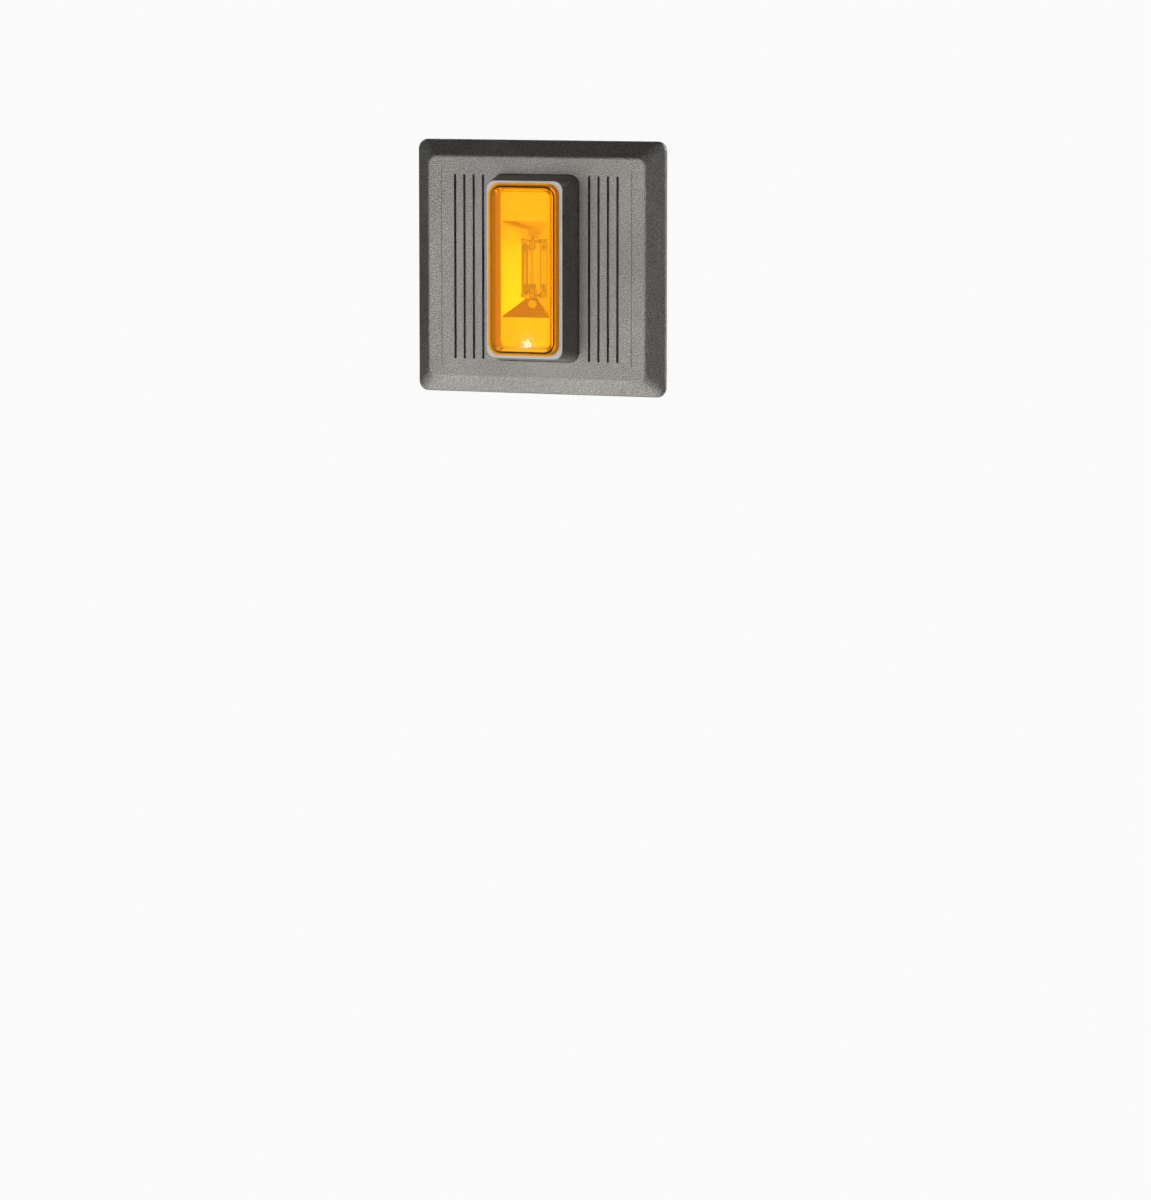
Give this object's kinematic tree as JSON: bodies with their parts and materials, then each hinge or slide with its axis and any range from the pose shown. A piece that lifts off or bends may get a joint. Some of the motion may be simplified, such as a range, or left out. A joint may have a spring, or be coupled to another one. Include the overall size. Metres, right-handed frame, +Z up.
{
  "type": "wall-mounted signal head",
  "caption": "Flush wall signal head: slotted grey faceplate, raised bezel with an amber flashing light, and a vibrating horn with terminals behind it.",
  "frame": {"origin": "on the wall's face, behind the middle of the lens", "axes": "+X to the viewer's right, +Z up, +Y into the wall, so the lens faces -Y"},
  "size_m": [0.1334, 0.0772, 0.127],
  "materials": {
    "grey_paint": "textured powder coat, warm grey",
    "rim_paint": "satin enamel, light cool grey on the front rim",
    "amber_lens": "clear amber, polished",
    "black_rubber": "matt black",
    "zinc_steel": "zinc plated",
    "spring_steel": "plain spring steel",
    "black_plastic": "black moulding",
    "brass": "turned brass",
    "copper_wire": "enamelled copper wire",
    "mirror_plate": "vacuum-metallised moulding",
    "flash_glass": "clear tube",
    "board_green": "solder resist on glass-epoxy",
    "cap_sleeve": "shrunk sleeve",
    "phenolic": "brown laminate",
    "ivory": "moulded nylon",
    "red_lead": "insulated lead",
    "black_lead": "insulated lead"
  },
  "bodies": {
    "base": {"mounting_frame": "zinc_steel", "lead_grommet": "black_rubber", "grip_clip_1": "spring_steel", "grip_clip_2": "spring_steel", "grip_clip_3": "spring_steel", "grip_clip_4": "spring_steel", "box_screw_right": "zinc_steel", "box_screw_left": "zinc_steel", "horn_pan": "black_plastic", "diaphragm": "spring_steel", "diaphragm_gasket": "black_rubber", "clamp_ring": "zinc_steel", "pan_screw_1": "zinc_steel", "pan_screw_2": "zinc_steel", "pan_screw_3": "zinc_steel", "pan_screw_4": "zinc_steel", "magnet_bracket": "zinc_steel", "magnet_core": "zinc_steel", "coil_bobbin": "ivory", "coil_winding": "copper_wire", "contact_block": "phenolic", "upper_contact_leaf": "spring_steel", "coil_contact_lead": "red_lead", "coil_feed_lead": "black_lead", "reflector": "mirror_plate", "flash_tube": "flash_glass", "tube_cap_top": "zinc_steel", "tube_cap_bottom": "zinc_steel", "strobe_board": "board_green", "strobe_bracket": "zinc_steel", "board_screw_top": "zinc_steel", "bracket_screw_top": "zinc_steel", "board_screw_bottom": "zinc_steel", "bracket_screw_bottom": "zinc_steel", "flash_capacitor": "cap_sleeve", "trigger_coil": "black_plastic", "choke": "black_plastic", "lead_connector": "ivory", "terminal_block": "black_plastic", "terminal_screw_1": "brass", "terminal_screw_2": "brass", "terminal_screw_3": "brass", "terminal_screw_4": "brass", "strobe_lead_red": "red_lead", "strobe_lead_black": "black_lead"},
    "front": {"faceplate": "grey_paint", "lens_bezel": "rim_paint", "lens_gasket": "black_rubber", "lens": "amber_lens", "bezel_screw_1": "zinc_steel", "bezel_screw_2": "zinc_steel", "bezel_screw_3": "zinc_steel", "bezel_screw_4": "zinc_steel"},
    "armature": {"armature": "zinc_steel", "striker_pin": "brass", "armature_spring": "spring_steel", "contact_pusher": "phenolic"},
    "contact_leaf": {"lower_contact_leaf": "spring_steel"},
    "volume_screw": {"volume_screw": "brass"}
  },
  "joints": [
    {"name": "front_pull", "type": "slide", "parent": "base", "child": "front", "axis": [0, -1, 0], "range_m": [0, 0.045]},
    {"name": "armature_rock", "type": "hinge", "parent": "base", "child": "armature", "pos_m": [-0.022, 0.0134, 0], "axis": [0, 0, 1], "range_deg": [0, 1], "stiffness_Nm_per_rad": 0.9, "springref_deg": -1.15},
    {"name": "contact_leaf_flex", "type": "hinge", "parent": "base", "child": "contact_leaf", "pos_m": [0.028, 0.0179, 0], "axis": [0, 0, 1], "range_deg": [-2.95, 0]},
    {"name": "volume_turn", "type": "hinge", "parent": "base", "child": "volume_screw", "pos_m": [0.02, 0.037, 0], "axis": [0, 1, 0], "range_deg": [-360, 360]}
  ],
  "couplings": [
    {"joint": "contact_leaf_flex", "follows": "armature_rock", "ratio": -2.906}
  ]
}
